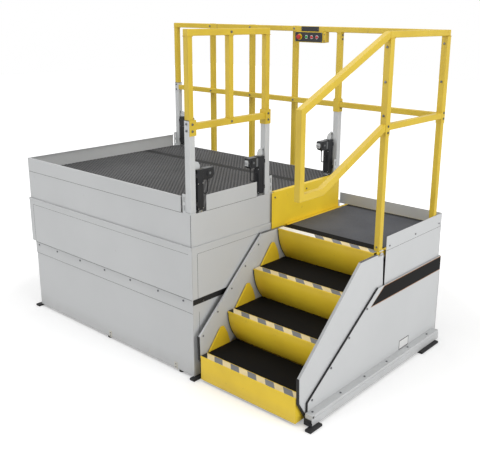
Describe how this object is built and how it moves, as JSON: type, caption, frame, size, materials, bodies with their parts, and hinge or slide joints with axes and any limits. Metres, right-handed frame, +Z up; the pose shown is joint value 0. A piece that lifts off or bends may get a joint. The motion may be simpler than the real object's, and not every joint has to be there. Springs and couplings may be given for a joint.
{
  "type": "adjustable operator platform",
  "caption": "Height-adjustable work platform with guard rails, skirted base and a folding stair with landing.",
  "frame": {"origin": "middle of the footprint on the floor", "axes": "+X from the closed end towards the stair's outer side, +Y from the stair's foot towards the rear guard, +Z up"},
  "size_m": [2.697, 1.625, 2.156],
  "materials": {
    "grey": "light grey powder coat, satin",
    "yellow": "safety yellow powder coat, satin",
    "deck_dark": "dark non-slip tread surface",
    "frame_dark": "black coated structural steel",
    "black_rubber": "black rubber",
    "black_plastic": "black moulded housing",
    "nylon": "natural slide pads",
    "steel": "bare steel",
    "mat_grey": "dark landing mat",
    "red": "signal red push buttons"
  },
  "bodies": {
    "base": {"base_frame": "frame_dark", "base_panels": "grey", "base_front_band": "grey", "base_side_strip": "frame_dark", "foot_plates": "black_rubber", "stair_base_frame": "frame_dark", "stair_side_panel": "grey", "stair_side_rail": "grey", "stair_rear_panel": "grey", "stair_edge_seal": "black_rubber"},
    "mid_skirt": {"mid_skirts": "grey", "mid_slide_pads": "nylon"},
    "deck": {"deck_frame": "frame_dark", "deck_columns": "steel", "deck_gratings": "deck_dark", "upper_skirts": "grey", "toe_boards": "grey", "entry_riser_panel": "yellow", "post_guides": "grey", "actuator_rods": "steel"},
    "guard": {"guard_posts": "grey", "rear_guard_frame": "yellow", "rear_mid_rails": "yellow", "rear_balusters": "yellow", "front_guard_frame": "yellow", "front_mid_rail": "yellow", "landing_guard_frame": "yellow", "landing_mid_rail": "yellow", "stair_handrail": "yellow", "control_box": "yellow", "control_buttons": "red", "actuators": "black_plastic", "actuator_leads": "black_plastic"},
    "landing": {"landing_frame": "yellow", "landing_columns": "steel", "landing_riser": "yellow", "landing_mat": "mat_grey", "landing_side_panel": "grey", "landing_rear_panel": "grey", "landing_toe_boards": "grey", "landing_posts": "yellow"},
    "wings": {"wing_left": "grey", "wing_right": "grey", "pivot_shafts": "steel", "wing_edge_trims": "black_rubber"},
    "step_1": {"step_1": "yellow", "step_1_mat": "black_rubber"},
    "step_2": {"step_2": "yellow", "step_2_mat": "black_rubber"},
    "step_3": {"step_3": "yellow", "step_3_mat": "black_rubber"}
  },
  "joints": [
    {"name": "deck_lift", "type": "slide", "parent": "base", "child": "deck", "axis": [0, 0, 1], "range_m": [-0.4, 0]},
    {"name": "guard_lift", "type": "slide", "parent": "deck", "child": "guard", "axis": [0, 0, 1], "range_m": [0, 0.2]},
    {"name": "mid_skirt_lift", "type": "slide", "parent": "base", "child": "mid_skirt", "axis": [0, 0, 1], "range_m": [-0.24, 0]},
    {"name": "landing_lift", "type": "slide", "parent": "base", "child": "landing", "axis": [0, 0, 1], "range_m": [-0.3, 0]},
    {"name": "wing_fold", "type": "hinge", "parent": "landing", "child": "wings", "pos_m": [0.4805, 0.0465, 0.808], "axis": [1, 0, 0], "range_deg": [-20.37, 0]},
    {"name": "step_1_level", "type": "hinge", "parent": "wings", "child": "step_1", "pos_m": [0.4805, -0.6945, 0.142], "axis": [1, 0, 0], "range_deg": [0, 20.37]},
    {"name": "step_2_level", "type": "hinge", "parent": "wings", "child": "step_2", "pos_m": [0.4805, -0.4475, 0.364], "axis": [1, 0, 0], "range_deg": [0, 20.37]},
    {"name": "step_3_level", "type": "hinge", "parent": "wings", "child": "step_3", "pos_m": [0.4805, -0.2005, 0.586], "axis": [1, 0, 0], "range_deg": [0, 20.37]}
  ],
  "couplings": [
    {"joint": "mid_skirt_lift", "follows": "deck_lift", "ratio": 0.6},
    {"joint": "landing_lift", "follows": "deck_lift", "ratio": 0.75},
    {"joint": "wing_fold", "follows": "deck_lift", "rad_per_m": 0.88794},
    {"joint": "step_1_level", "follows": "deck_lift", "rad_per_m": -0.88794},
    {"joint": "step_2_level", "follows": "deck_lift", "rad_per_m": -0.88794},
    {"joint": "step_3_level", "follows": "deck_lift", "rad_per_m": -0.88794}
  ]
}
